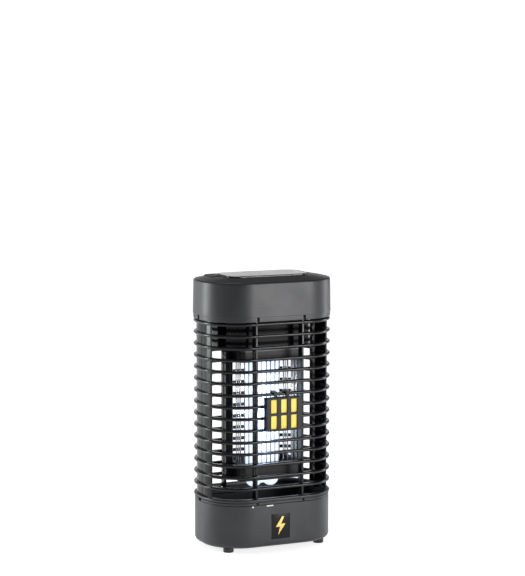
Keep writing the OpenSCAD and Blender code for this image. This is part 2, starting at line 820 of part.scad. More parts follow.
module live_lead() color("#b03a2e")
    translate([live_lead_x, 0, upper_frame_top + bus_thickness])
        cylinder(r = lead_r, h = board_z - upper_frame_top - bus_thickness);

module return_lead() color("#2e4fb0")
    translate([-return_lead_x, 0, lower_frame_z])
        cylinder(r = lead_r, h = board_z - lower_frame_z);

// ---------------------------------------------------------------- tray

module collection_tray() color("#232427")
    difference() {
        union() {
            difference() {
                r = corner - tray_inset;
                union() {
                    around() polygon([[0, foot_height], [r - tray_fillet, foot_height],
                                      [r - tray_fillet * 0.38, foot_height + tray_fillet * 0.3],
                                      [r - tray_fillet * 0.08, foot_height + tray_fillet * 0.75],
                                      [r, foot_height + tray_fillet * 1.3],
                                      [r, tray_top], [0, tray_top]]);
                    translate([-flat_x, -flat_y, foot_height])
                        cube([2 * flat_x, 2 * flat_y, tray_height]);
                }
                slab(-tray_inset - tray_wall, foot_height + tray_floor, tray_height);
            }
            // collar that plugs into the rim, on a root inside the wall
            band(-rib_inset - tray_clearance - tray_wall, -rib_inset - tray_clearance,
                 tray_top - collar_root, collar_height + collar_root);
            band(-rib_inset - tray_clearance - tray_wall, -tray_inset - tray_wall / 2,
                 tray_top - collar_root, collar_root);
            // pad behind the badge
            box(-badge_width / 2 - badge_margin, badge_width / 2 + badge_margin,
                -badge_face + tray_wall / 2, -badge_face + badge_thickness + tray_wall,
                badge_z - badge_margin, badge_z + badge_height + badge_margin);
        }
        mark_shapes(over);
        box(-badge_width / 2 - fit_clearance, badge_width / 2 + fit_clearance,
            -badge_face - over, -badge_face + badge_thickness,
            badge_z - fit_clearance, badge_z + badge_height + fit_clearance);
    }

module tray_feet() color("#101112")
    both_x() both_y()
        translate([flat_x + foot_ring * cos(foot_angle), flat_y + foot_ring * sin(foot_angle), 0])
            cylinder(r = foot_d / 2, h = foot_height);

module badge_plate() color("#0c0c0d")
    box(-badge_width / 2, badge_width / 2, -badge_face + badge_proud, -badge_face + badge_thickness,
        badge_z, badge_z + badge_height);

// Plain lightning bolt
module badge_emblem() color("#c8a24c")
    translate([0, -badge_face + badge_proud, badge_z + badge_height / 2]) rotate([90, 0, 0])
        linear_extrude(emblem_thickness)
            scale([badge_width, badge_height])
                polygon([[0.075, 0.39], [-0.275, -0.03], [-0.04, -0.03], [-0.14, -0.37],
                         [0.275, 0.095], [0.035, 0.095], [0.21, 0.39]]);

// ---------------------------------------------------------------- lure

module lure_block(y0, y1)
    box(-lure_width / 2, lure_width / 2, -lure_y - y1, -lure_y - y0, lure_low_z, lure_top_z);

module lure_case() color("#17181a")
    difference() {
        lure_block(lure_back_t, lure_thickness);
        // pocket the pad sits in, open at the back
        box(-lure_width / 2 + lure_rim, lure_width / 2 - lure_rim,
            -lure_y - lure_thickness + lure_face_t, -lure_y,
            lure_low_z + lure_rim, lure_top_z - lure_rim);
        for (i = [-1 : 1], k = [-0.5, 0.5])
            translate([i * window_px, -lure_y - lure_thickness / 2,
                       (lure_low_z + lure_top_z) / 2 + k * window_pz])
                cube([window_w, lure_thickness * 2, window_h], center = true);
    }

module lure_pad() color("#e7c94f")
    box(-lure_width / 2 + lure_rim + fit_clearance, lure_width / 2 - lure_rim - fit_clearance,
        -lure_y - lure_thickness + lure_face_t, -lure_y - lure_back_t,
        lure_low_z + lure_rim + fit_clearance, lure_top_z - lure_rim - fit_clearance);

module lure_back() color("#17181a") {
    lure_block(0, lure_back_t);
    hook_top = ring_z(lure_ring) + ring_thickness / 2 + lure_clearance + hook_t;
    for (x = [-hook_x, hook_x]) {
        box(x - hook_width / 2, x + hook_width / 2, -lure_y - lure_back_t, -lure_y,
            lure_top_z, hook_top);
        box(x - hook_width / 2, x + hook_width / 2, -lure_y,
            -half_y + ring_reach + lure_clearance + hook_t, hook_top - hook_t, hook_top);
        box(x - hook_width / 2, x + hook_width / 2, -half_y + ring_reach + lure_clearance,
            -half_y + ring_reach + lure_clearance + hook_t,
            hook_top - hook_t - hook_drop, hook_top);
    }
}

// ---------------------------------------------------------------- output

top_cover();
carry_handle();
handle_pins();
cord_inlet_bush();
chassis_pan();
chassis_screws();
circuit_board();
board_screws();
hv_transformer();
ballast_choke();
capacitors();
lamp_holder();
lamp_cap();
lamp_pins();
lamp_tubes();
guard_rings();
guard_ribs();
end_walls();
guard_rim();
seam_marks();
post_left();
post_right();
post_screws();
upper_grid_frame();
lower_grid_frame();
frame_screws();
live_wires();
return_wires();
live_bus();
return_bus();
live_lead();
return_lead();
collection_tray();
tray_feet();
badge_plate();
badge_emblem();
lure_case();
lure_pad();
lure_back();
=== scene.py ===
# %% [markdown]
# # An electric bug zapper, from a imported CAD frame
#
# The object is an upright lantern: a black cap, a cage of stacked bands, a grid of upright
# wires round a lit lamp, and a tray underneath that catches what falls. The CAD frame
# already holds every size and joint. This lesson gives each piece its moulded shape and
# its finish, and leaves all the measurements where the frame has them.

import math

import bmesh
import bpy
from mathutils import Matrix, Vector


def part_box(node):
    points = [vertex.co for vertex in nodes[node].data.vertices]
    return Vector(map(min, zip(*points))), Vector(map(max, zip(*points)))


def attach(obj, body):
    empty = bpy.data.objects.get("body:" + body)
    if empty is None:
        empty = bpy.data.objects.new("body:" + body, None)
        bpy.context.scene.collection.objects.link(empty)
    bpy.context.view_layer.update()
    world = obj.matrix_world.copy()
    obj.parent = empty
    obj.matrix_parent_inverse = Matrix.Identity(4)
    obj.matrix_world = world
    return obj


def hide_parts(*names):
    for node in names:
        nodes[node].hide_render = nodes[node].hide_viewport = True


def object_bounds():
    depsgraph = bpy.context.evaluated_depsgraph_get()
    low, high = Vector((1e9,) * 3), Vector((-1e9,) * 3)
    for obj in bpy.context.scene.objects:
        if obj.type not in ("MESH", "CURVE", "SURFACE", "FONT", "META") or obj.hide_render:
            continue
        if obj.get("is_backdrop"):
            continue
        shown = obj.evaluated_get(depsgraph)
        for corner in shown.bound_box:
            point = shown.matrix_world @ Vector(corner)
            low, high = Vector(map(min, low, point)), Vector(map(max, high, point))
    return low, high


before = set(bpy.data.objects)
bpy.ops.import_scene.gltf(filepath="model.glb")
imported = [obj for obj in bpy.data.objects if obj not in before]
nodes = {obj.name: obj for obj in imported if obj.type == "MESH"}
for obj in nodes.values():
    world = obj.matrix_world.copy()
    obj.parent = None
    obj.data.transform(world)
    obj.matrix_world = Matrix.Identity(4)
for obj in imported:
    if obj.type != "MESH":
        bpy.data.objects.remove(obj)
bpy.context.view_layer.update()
MM = 0.001

# %% [markdown]
# ## The plan that everything shares
#
# Cap, bands, rim and tray are all the same rounded rectangle, moved in or out a little.
# It could be drawn again for each piece, but then a small change would have to be made
# many times. So the four corner centres are measured once, on the CAD bands, and each
# piece is a profile carried round those centres.

# %% Measure the shared plan on the bands
bands = nodes["guard_rings"]
bands_low, bands_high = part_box("guard_rings")
half_x = bands_high[0]
half_y = bands_high[1]
flat_x = max(v.co.x for v in bands.data.vertices if v.co.y > half_y - 0.01 * MM)
flat_y = max(v.co.y for v in bands.data.vertices if v.co.x > half_x - 0.01 * MM)
corner = half_y - flat_y
print("corner centres at", round(flat_x / MM, 2), round(flat_y / MM, 2), "radius", round(corner / MM, 2))

# %% [markdown]
# ## Helpers for meshes
#
# A profile is a short list of points: how far it stands out from the bands' edge, and its
# height. `carry_round` extrudes it along each straight run and spins it a quarter turn at
# each corner, which is how a die maker would cut such a rim. A copy of a CAD mesh is
# merged first, because the frame's triangles are loose.

# %% Make an object from a bmesh
def finish_piece(name, bm, body, finish, smooth_angle=35.0):
    mesh = bpy.data.meshes.new(name)
    bm.to_mesh(mesh)
    bm.free()
    piece = bpy.data.objects.new(name, mesh)
    bpy.context.scene.collection.objects.link(piece)
    mesh.materials.append(finish)
    mesh.shade_smooth()
    mesh.set_sharp_from_angle(angle=math.radians(smooth_angle))
    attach(piece, body)
    print(name, len(mesh.polygons), "faces")
    return piece


# %% Profiles: arcs, chains and loops
def arc(cx, cz, radius, start, end, steps):
    turn = [math.radians(start + (end - start) * i / steps) for i in range(steps + 1)]
    return [(cx + radius * math.cos(t), cz + radius * math.sin(t)) for t in turn]


def chain(bm, points, x, y0, closed):
    verts = [bm.verts.new((x, -(y0 + out), z)) for out, z in points]
    edges = [bm.edges.new(pair) for pair in zip(verts, verts[1:])]
    if closed:
        edges.append(bm.edges.new((verts[-1], verts[0])))
    return edges


# %% Carry a profile round a rounded rectangle
def carry_round(bm, points, fx=None, fy=None, radius=None, closed=False, steps=18):
    fx = flat_x if fx is None else fx
    fy = flat_y if fy is None else fy
    radius = corner if radius is None else radius
    edges = chain(bm, points, -fx, fy + radius, closed)
    runs = [(2 * fx, 0), (0, 2 * fy), (-2 * fx, 0), (0, -2 * fy)]
    centres = [(fx, -fy), (fx, fy), (-fx, fy), (-fx, -fy)]
    for run, centre in zip(runs, centres):
        grown = bmesh.ops.extrude_edge_only(bm, edges=edges)["geom"]
        moved = [g for g in grown if isinstance(g, bmesh.types.BMVert)]
        bmesh.ops.translate(bm, verts=moved, vec=(*run, 0))
        edges = [g for g in grown if isinstance(g, bmesh.types.BMEdge)]
        turned = bmesh.ops.spin(
            bm, geom=edges + moved, cent=(*centre, 0), axis=(0, 0, 1), dvec=(0, 0, 0),
            angle=math.pi / 2, steps=steps, use_merge=False, use_duplicate=False,
        )
        edges = [g for g in turned["geom_last"] if isinstance(g, bmesh.types.BMEdge)]
    bmesh.ops.remove_doubles(bm, verts=bm.verts, dist=0.002 * MM)


def close_and_turn_out(bm):
    rims = [e for e in bm.edges if e.is_boundary]
    if rims:
        bmesh.ops.holes_fill(bm, edges=rims, sides=0)
    bmesh.ops.recalc_face_normals(bm, faces=bm.faces)


# %% Boxes with rounded edges
def block(bm, low, high, bevel=0.0, segments=3):
    made = bmesh.ops.create_cube(bm, size=1.0)["verts"]
    size = Vector(high) - Vector(low)
    middle = (Vector(high) + Vector(low)) / 2
    bmesh.ops.scale(bm, vec=size, verts=made)
    bmesh.ops.translate(bm, vec=middle, verts=made)
    if bevel:
        edges = list({e for v in made for e in v.link_edges})
        bmesh.ops.bevel(
            bm, geom=edges, offset=bevel, offset_type="OFFSET", segments=segments,
            profile=0.5, affect="EDGES", material=-1, clamp_overlap=True,
        )
    return made


# %% Round pieces: a profile spun a full turn about any axis
def spun(bm, points, centre, axis, steps=32):
    axis = Vector(axis).normalized()
    side = axis.orthogonal().normalized()
    centre = Vector(centre)
    verts = [bm.verts.new(centre + side * out + axis * along) for out, along in points]
    edges = [bm.edges.new(pair) for pair in zip(verts, verts[1:])]
    made = bmesh.ops.spin(
        bm, geom=verts + edges, cent=centre, axis=axis, dvec=(0, 0, 0),
        angle=2 * math.pi, steps=steps, use_merge=True, use_duplicate=False,
    )
    return made


# %% Copies of CAD nodes, merged, with their edges broken
def eased_copy(node, name, body, finish, ease=0.25 * MM, segments=2):
    bm = bmesh.new()
    bm.from_mesh(nodes[node].data)
    bmesh.ops.remove_doubles(bm, verts=bm.verts, dist=0.002 * MM)
    bmesh.ops.dissolve_limit(
        bm, angle_limit=math.radians(0.6), use_dissolve_boundaries=False,
        verts=bm.verts, edges=bm.edges,
    )
    piece = finish_piece(name, bm, body, finish)
    if ease:
        edge = piece.modifiers.new("eased edges", "BEVEL")
        edge.width = ease
        edge.segments = segments
        edge.limit_method = "ANGLE"
        edge.angle_limit = math.radians(40)
        edge.harden_normals = True
    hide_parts(node)
    return piece


def cut(piece, cutter_bm, name, crossing=False):
    mesh = bpy.data.meshes.new(name)
    cutter_bm.to_mesh(mesh)
    cutter_bm.free()
    tool = bpy.data.objects.new(name, mesh)
    bpy.context.scene.collection.objects.link(tool)
    step = piece.modifiers.new(name, "BOOLEAN")
    step.operation = "DIFFERENCE"
    step.solver = "EXACT"
    step.use_self = crossing
    step.object = tool
    settled = bpy.data.meshes.new_from_object(
        piece.evaluated_get(bpy.context.evaluated_depsgraph_get())
    )
    settled.set_sharp_from_angle(angle=math.radians(35))
    piece.modifiers.clear()
    piece.data = settled
    bpy.data.objects.remove(tool)
    print("cut", name, "leaves", len(settled.polygons), "faces")


# %% [markdown]
# ## Finishes
#
# Nearly everything is black plastic, and what makes it look real is how light spreads on
# it. One flat black would look like a drawing. So each moulding has a fine spark-eroded
# grain as bump, a slow change of roughness as the tool was polished by hand, a trace of
# dust, and paler edges where hands and boxes have rubbed it.

# %% Start a material
def blank(name):
    finish = bpy.data.materials.new(name)
    finish.use_nodes = True
    tree = finish.node_tree
    shader = tree.nodes["Principled BSDF"]
    return finish, tree.nodes, tree.links, shader


def noise(tree_nodes, links, where, scale, detail, roughness=0.5):
    texture = tree_nodes.new("ShaderNodeTexNoise")
    texture.inputs["Scale"].default_value = scale
    texture.inputs["Detail"].default_value = detail
    texture.inputs["Roughness"].default_value = roughness
    links.new(where, texture.inputs["Vector"])
    return texture.outputs["Fac"]


def spread(tree_nodes, links, value, low, high, to_low, to_high):
    ranged = tree_nodes.new("ShaderNodeMapRange")
    ranged.inputs["From Min"].default_value = low
    ranged.inputs["From Max"].default_value = high
    ranged.inputs["To Min"].default_value = to_low
    ranged.inputs["To Max"].default_value = to_high
    links.new(value, ranged.inputs["Value"])
    return ranged.outputs["Result"]


def blend_colours(tree_nodes, links, share, first, second):
    mixed = tree_nodes.new("ShaderNodeMix")
    mixed.data_type = "RGBA"
    for socket, colour in ((mixed.inputs["A"], first), (mixed.inputs["B"], second)):
        if isinstance(colour, tuple):
            socket.default_value = (*colour, 1.0)
        else:
            links.new(colour, socket)
    links.new(share, mixed.inputs["Factor"])
    return mixed.outputs["Result"]


# %% Moulded plastic, from satin to gloss
def moulded(name, colour, rough, grain=2600.0, depth=0.05, worn=0.3, dust=0.03, shine=0.5):
    finish, n, links, shader = blank(name)
    place = n.new("ShaderNodeTexCoord").outputs["Object"]
    slow = noise(n, links, place, 28.0, 4.0)
    fine = noise(n, links, place, grain, 2.0)
    edge = n.new("ShaderNodeNewGeometry").outputs["Pointiness"]
    rubbed = spread(n, links, edge, 0.52, 0.62, 0.0, worn)
    dusty = spread(n, links, slow, 0.45, 0.75, 0.0, dust)
    pale = tuple(min(1.0, 0.03 + 1.5 * c) for c in colour)
    grey = tuple(min(0.75, 0.22 + c) for c in colour)
    body = blend_colours(n, links, rubbed, colour, pale)
    body = blend_colours(n, links, dusty, body, grey)
    links.new(body, shader.inputs["Base Color"])
    links.new(spread(n, links, slow, 0.3, 0.7, rough * 0.88, rough * 1.14), shader.inputs["Roughness"])
    shader.inputs["Specular IOR Level"].default_value = shine
    relief = n.new("ShaderNodeBump")
    relief.inputs["Strength"].default_value = 0.6
    relief.inputs["Distance"].default_value = depth * MM
    links.new(fine, relief.inputs["Height"])
    links.new(relief.outputs["Normal"], shader.inputs["Normal"])
    return finish


# %% Metal: drawn wire, plated screws, brass strip
def metal(name, colour, rough, streak=(900.0, 900.0, 25.0), depth=0.01):
    finish, n, links, shader = blank(name)
    place = n.new("ShaderNodeTexCoord").outputs["Object"]
    stretch = n.new("ShaderNodeMapping")
    stretch.inputs["Scale"].default_value = streak
    links.new(place, stretch.inputs["Vector"])
    drawn = noise(n, links, stretch.outputs["Vector"], 1.0, 3.0)
    tarnish = noise(n, links, place, 90.0, 4.0)
    dull = tuple(c * 0.62 for c in colour)
    share = spread(n, links, tarnish, 0.42, 0.72, 0.0, 0.7)
    links.new(blend_colours(n, links, share, colour, dull), shader.inputs["Base Color"])
    shader.inputs["Metallic"].default_value = 1.0
    links.new(spread(n, links, drawn, 0.3, 0.7, rough * 0.8, rough * 1.3), shader.inputs["Roughness"])
    relief = n.new("ShaderNodeBump")
    relief.inputs["Strength"].default_value = 0.4
    relief.inputs["Distance"].default_value = depth * MM
    links.new(drawn, relief.inputs["Height"])
    links.new(relief.outputs["Normal"], shader.inputs["Normal"])
    return finish


# %% The lit lamp tube
def lit_tube(name, glow, strength):
    finish, n, links, shader = blank(name)
    place = n.new("ShaderNodeTexCoord").outputs["Object"]
    split = n.new("ShaderNodeSeparateXYZ")
    links.new(place, split.inputs["Vector"])
    low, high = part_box("lamp_tubes")
    height = spread(n, links, split.outputs["Z"], low[2] + 0.78 * (high[2] - low[2]), high[2], 0.0, 1.0)
    mottle = noise(n, links, place, 260.0, 3.0)
    colour = blend_colours(n, links, height, (0.68, 0.81, 1.0), glow)
    links.new(colour, shader.inputs["Emission Color"])
    links.new(spread(n, links, mottle, 0.3, 0.7, strength * 0.94, strength * 1.06),
              shader.inputs["Emission Strength"])
    shader.inputs["Base Color"].default_value = (0.93, 0.95, 0.97, 1.0)
    links.new(spread(n, links, mottle, 0.3, 0.7, 0.14, 0.2), shader.inputs["Roughness"])
    shader.inputs["Coat Weight"].default_value = 0.6
    return finish


# %% Soaked pad, printed laminate and other one-off finishes
def mottled(name, first, second, rough, scale, depth, coat=0.0):
    finish, n, links, shader = blank(name)
    place = n.new("ShaderNodeTexCoord").outputs["Object"]
    coarse = noise(n, links, place, scale, 5.0, 0.6)
    fine = noise(n, links, place, scale * 9.0, 3.0)
    share = spread(n, links, coarse, 0.35, 0.68, 0.0, 1.0)
    links.new(blend_colours(n, links, share, first, second), shader.inputs["Base Color"])
    links.new(spread(n, links, fine, 0.3, 0.7, rough * 0.85, rough * 1.15), shader.inputs["Roughness"])
    shader.inputs["Coat Weight"].default_value = coat
    relief = n.new("ShaderNodeBump")
    relief.inputs["Strength"].default_value = 0.5
    relief.inputs["Distance"].default_value = depth * MM
    links.new(fine, relief.inputs["Height"])
    links.new(relief.outputs["Normal"], shader.inputs["Normal"])
    return finish


# %% Name the finishes
cap_black = moulded("cap_black", (0.014, 0.015, 0.018), 0.40)
handle_black = moulded("handle_black", (0.010, 0.010, 0.012), 0.42)
cage_black = moulded(
    "cage_black", (0.004, 0.004, 0.005), 0.24, grain=1800.0, dust=0.015, shine=0.36,
)
tray_black = moulded("tray_black", (0.010, 0.011, 0.014), 0.38, dust=0.04)
gloss_black = moulded(
    "gloss_black", (0.002, 0.002, 0.003), 0.15, depth=0.012, worn=0.1, dust=0.006, shine=0.2,
)
polished_black = moulded(
    "polished_black", (0.010, 0.010, 0.012), 0.2, depth=0.02, worn=0.1, dust=0.02,
)
insulator_black = moulded("insulator_black", (0.004, 0.004, 0.005), 0.36, dust=0.015, shine=0.3)
rubber_black = moulded("rubber_black", (0.012, 0.012, 0.012), 0.75, grain=900.0, depth=0.12)
socket_white = moulded("socket_white", (0.62, 0.61, 0.56), 0.48, worn=0.2)
lamp_cap_white = moulded("lamp_cap_white", (0.70, 0.71, 0.70), 0.40, worn=0.1)
mark_white = moulded("mark_white", (0.72, 0.70, 0.64), 0.5, worn=0.2, dust=0.15)
badge_black = moulded(
    "badge_black", (0.002, 0.002, 0.002), 0.25, depth=0.01, dust=0.006, shine=0.15,
)
steel_plate = metal("zinc_plated_steel", (0.56, 0.57, 0.58), 0.3)
wire_steel = metal("drawn_steel_wire", (0.60, 0.61, 0.63), 0.24)
strip_brass = metal("brass_strip", (0.66, 0.48, 0.20), 0.28, streak=(40.0, 40.0, 900.0))
strip_tin = metal("tinned_strip", (0.16, 0.16, 0.17), 0.42, streak=(40.0, 40.0, 900.0))
foil_gold = metal("gold_foil", (0.70, 0.50, 0.17), 0.32, streak=(500.0, 500.0, 500.0))
lamp_light = lit_tube("lit_lamp_glass", (0.20, 0.36, 0.95), 1.1)
pad_yellow = mottled("soaked_pad_yellow", (1.0, 0.82, 0.17), (0.95, 0.68, 0.10), 0.55, 140.0, 0.12)
board_green = mottled("lacquered_board", (0.02, 0.16, 0.06), (0.015, 0.11, 0.045), 0.3, 120.0, 0.03, 0.5)
winding_copper = mottled("varnished_winding", (0.30, 0.12, 0.04), (0.16, 0.07, 0.03), 0.35, 300.0, 0.08, 0.3)
choke_grey = mottled("varnished_choke", (0.07, 0.075, 0.08), (0.04, 0.04, 0.045), 0.4, 160.0, 0.05)
dipped_amber = mottled("dipped_amber", (0.42, 0.20, 0.03), (0.30, 0.13, 0.02), 0.22, 90.0, 0.05, 0.6)
lead_red = mottled("red_lead", (0.42, 0.03, 0.02), (0.30, 0.02, 0.02), 0.5, 200.0, 0.02)
lead_dark = mottled("dark_blue_lead", (0.006, 0.010, 0.03), (0.004, 0.007, 0.02), 0.5, 200.0, 0.02)
print(len(bpy.data.materials), "finishes")


# %% [markdown]
# ## The cage: fifteen bands, six ribs and two closed ends
#
# Each band is a moulded hoop with a rounded nose and a flat back, so its upper edge
# catches one thin line of light. It could be a curve with a bevel, but a curve cannot have
# a flat back. Its section is drawn once and carried round the plan at the height of each
# CAD band; the pitch measured on the CAD bands is only printed.

# %% Boxes of the separate solids in a node
def solids(node):
    bm = bmesh.new()
    bm.from_mesh(nodes[node].data)
    bmesh.ops.remove_doubles(bm, verts=bm.verts, dist=0.002 * MM)
    waiting = set(bm.verts)
    boxes = []
    while waiting:
        group = [waiting.pop()]
        for vert in group:
            near = [e.other_vert(vert) for e in vert.link_edges]
            fresh = [v for v in near if v in waiting]
            waiting.difference_update(fresh)
            group.extend(fresh)
        low = Vector(min(v.co[i] for v in group) for i in range(3))
        high = Vector(max(v.co[i] for v in group) for i in range(3))
        boxes.append((low, high))
    bm.free()
    return sorted(boxes, key=lambda b: (round(b[0].z, 4), round(b[0].y, 4), round(b[0].x, 4)))


# %% Cage bands
band_boxes = solids("guard_rings")
band_thick = band_boxes[0][1].z - band_boxes[0][0].z
band_pitch = (bands_high[2] - bands_low[2] - band_thick) / (len(band_boxes) - 1)
band_reach = 6.0 * MM
nose = 1.25 * MM
back_edge = 0.5 * MM


def band_section(z):
    low = z - band_thick / 2
    high = z + band_thick / 2
    return (
        arc(-nose, low + nose, nose, -90, 0, 5)
        + arc(-nose, high - nose, nose, 0, 90, 5)
        + arc(-band_reach + back_edge, high - back_edge, back_edge, 90, 180, 2)
        + arc(-band_reach + back_edge, low + back_edge, back_edge, 180, 270, 2)
    )


cage = bmesh.new()
for low, high in band_boxes:
    carry_round(cage, band_section((low.z + high.z) / 2), radius=corner, closed=True)
close_and_turn_out(cage)
cage_bands = finish_piece("cage_bands", cage, "housing", cage_black)
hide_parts("guard_rings")
print(len(band_boxes), "bands, pitch", round(band_pitch / MM, 2), "mm")

# %% Cage ribs, with their edges rounded
ribs = bmesh.new()
for low, high in solids("guard_ribs"):
    block(ribs, low, high, bevel=0.7 * MM)
cage_ribs = finish_piece("cage_ribs", ribs, "housing", cage_black)
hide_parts("guard_ribs")

# %% Closed ends of the cage, each with its end rib
eased_copy("end_walls", "cage_ends", "housing", gloss_black, 0.4 * MM, 3)

# %% [markdown]
# ## The rim that joins cage and tray
#
# Under the lowest band the cage ends in a low wall, flush with the tray that plugs into it
# from below. The wall, the groove above it and the top band are one section carried round
# once. A small window under each rib and a latch opening at each end are cut afterwards.

# %% Rim
rim_low, rim_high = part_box("guard_rim")
rim_inset = half_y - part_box("guard_ribs")[1][1]
rim_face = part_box("collection_tray")[1][1] - half_y
wall_in = -rim_inset
top = rim_high[2]
groove_low = top - band_thick - 0.7 * MM
groove_in = rim_face - 0.9 * MM
rim_points = (
    [(wall_in, rim_low[2]), (rim_face - 0.5 * MM, rim_low[2]), (rim_face, rim_low[2] + 0.5 * MM)]
    + [(rim_face, groove_low - 0.3 * MM), (rim_face - 0.3 * MM, groove_low), (groove_in, groove_low)]
    + [(groove_in, top - band_thick)]
    + arc(-nose, top - band_thick + nose, nose, -90, 0, 5)
    + arc(-nose, top - nose, nose, 0, 90, 5)
    + arc(-band_reach + back_edge, top - back_edge, back_edge, 90, 180, 2)
    + [(-band_reach, top - band_thick), (wall_in, top - band_thick)]
)
rim = bmesh.new()
carry_round(rim, rim_points, closed=True)
close_and_turn_out(rim)
lower_rim = finish_piece("lower_rim", rim, "housing", tray_black)

# %% Windows under the ribs and latch openings at the ends
rim_deep = 4.0 * MM
latch_half = 3.0 * MM
window_half = 1.3 * MM
windows = bmesh.new()
for low, high in solids("guard_ribs"):
    middle = (low + high) / 2
    side = math.copysign(1.0, middle.y)
    near = sorted((side * (half_y + MM), side * (half_y - rim_deep)))
    block(windows, (middle.x - window_half, near[0], rim_low[2] + 0.7 * MM),
          (middle.x + window_half, near[1], top - band_thick - 0.1 * MM), 0.3 * MM)
for side in (-1, 1):
    near = sorted((side * (half_x + MM), side * (half_x - rim_deep)))
    block(windows, (near[0], -latch_half, rim_low[2] - MM),
          (near[1], latch_half, top - band_thick - 0.1 * MM), 0.3 * MM)
cut(lower_rim, windows, "rim windows")
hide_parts("guard_rim")

# %% [markdown]
# ## The cap
#
# The cap is one deep moulding: a tall side wall with a little draft, a set-back lip along
# its lower edge, a soft shoulder and a crowned top. The carried section gives all of that
# and the inside too, so the wall has a real thickness where the notches and the handle's
# well are cut through it.

# %% Cap section
cap_low, cap_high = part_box("top_cover")
handle_low, handle_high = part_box("carry_handle")
wall = 2.4 * MM
overhang = cap_high[1] - half_y
lip_tall = 5.0 * MM
lip_step = 0.5 * MM
crown = cap_high[2] - 0.6 * MM
shoulder = crown - 5.2 * MM
ceiling = shoulder - 4.2 * MM
draft = 0.6 * MM
side_top = overhang - draft
shoulder_r = 2.4 * MM
crown_reach = corner + side_top - 3.2 * MM
crown_fall = 3.9 * MM
cap_points = [(-corner, crown)]
for step in range(1, 11):
    part = step / 10
    cap_points.append((-corner + crown_reach * part, crown - crown_fall * part**2.1))
cap_points += arc(side_top - shoulder_r, shoulder - 1.1 * MM, shoulder_r, 68, 0, 7)
cap_points += [
    (overhang - 0.06 * MM, cap_low[2] + lip_tall + 0.4 * MM),
    (overhang - 0.12 * MM, cap_low[2] + lip_tall + 0.15 * MM),
    (overhang - 0.3 * MM, cap_low[2] + lip_tall),
    (overhang - lip_step, cap_low[2] + lip_tall - 0.1 * MM),
    (overhang - lip_step, cap_low[2] + 0.5 * MM),
    (overhang - lip_step - 0.15 * MM, cap_low[2] + 0.15 * MM),
    (overhang - lip_step - 0.5 * MM, cap_low[2]),
    (overhang - wall, cap_low[2]),
    (overhang - wall, ceiling - 2.0 * MM),
    (overhang - wall - 0.6 * MM, ceiling - 0.6 * MM),
    (overhang - wall - 2.0 * MM, ceiling),
    (-corner, ceiling),
]
cover = bmesh.new()
carry_round(cover, cap_points, steps=24)
close_and_turn_out(cover)
cap_shell = finish_piece("cap_shell", cover, "housing", cap_black)
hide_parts("top_cover")

# %% [markdown]
# ## The well and the carrying handle
#
# The handle folds down into a U-shaped well in the top, round a raised deck. Handle and
# well are the same path with different sections, so one helper carries a section along two
# arms, two quarter turns and a grip. A recess behind the grip leaves room for fingers.

# %% Carry a section along the U
handle_wide = 8.0 * MM
reach_back = handle_high[1]
bend = 10.0 * MM


def carry_u(bm, section, start_y, outer_x, outer_y, turn):
    verts = [bm.verts.new((-outer_x + inward, start_y, z)) for inward, z in section]
    edges = [bm.edges.new((verts[i - 1], verts[i])) for i in range(len(verts))]
    runs = [
        ((0, outer_y - turn - start_y, 0), (-outer_x + turn, outer_y - turn)),
        ((2 * (outer_x - turn), 0, 0), (outer_x - turn, outer_y - turn)),
        ((0, -(outer_y - turn - start_y), 0), None),
    ]
    for run, centre in runs:
        grown = bmesh.ops.extrude_edge_only(bm, edges=edges)["geom"]
        moved = [g for g in grown if isinstance(g, bmesh.types.BMVert)]
        edges = [g for g in grown if isinstance(g, bmesh.types.BMEdge)]
        bmesh.ops.translate(bm, verts=moved, vec=run)
        if centre:
            turned = bmesh.ops.spin(
                bm, geom=edges + moved, cent=(*centre, 0), axis=(0, 0, 1), dvec=(0, 0, 0),
                angle=-math.pi / 2, steps=14, use_merge=False, use_duplicate=False,
            )
            edges = [g for g in turned["geom_last"] if isinstance(g, bmesh.types.BMEdge)]
    bmesh.ops.remove_doubles(bm, verts=bm.verts, dist=0.002 * MM)
    close_and_turn_out(bm)


def rounded_section(wide, low, high, ease, steps=4):
    return (
        arc(ease, low + ease, ease, 180, 270, steps)
        + arc(wide - ease, low + ease, ease, 270, 360, steps)
        + arc(wide - ease, high - ease, ease, 0, 90, steps)
        + arc(ease, high - ease, ease, 90, 180, steps)
    )


# %% Cut the handle's well
play = 0.5 * MM
well = bmesh.new()
well_section = rounded_section(handle_wide + 2 * play, handle_low[2] - play, crown + 6 * MM, 1.2 * MM)
carry_u(well, well_section, -3.5 * MM, handle_high[0] + play, reach_back + play, bend + play)
cut(cap_shell, well, "handle well")

# %% Finger recess behind the grip
recess = bmesh.new()
finger_half = 14.0 * MM
finger_reach = 5.5 * MM
made = block(recess, (-finger_half, reach_back - finger_reach, handle_low[2] - play),
             (finger_half, reach_back + finger_reach, crown + 6 * MM))
uprights = [e for e in recess.edges if abs(e.verts[0].co.z - e.verts[1].co.z) > MM]
bmesh.ops.bevel(recess, geom=uprights, offset=3.0 * MM, offset_type="OFFSET", segments=6,
                profile=0.5, affect="EDGES", material=-1)
cut(cap_shell, recess, "finger recess")

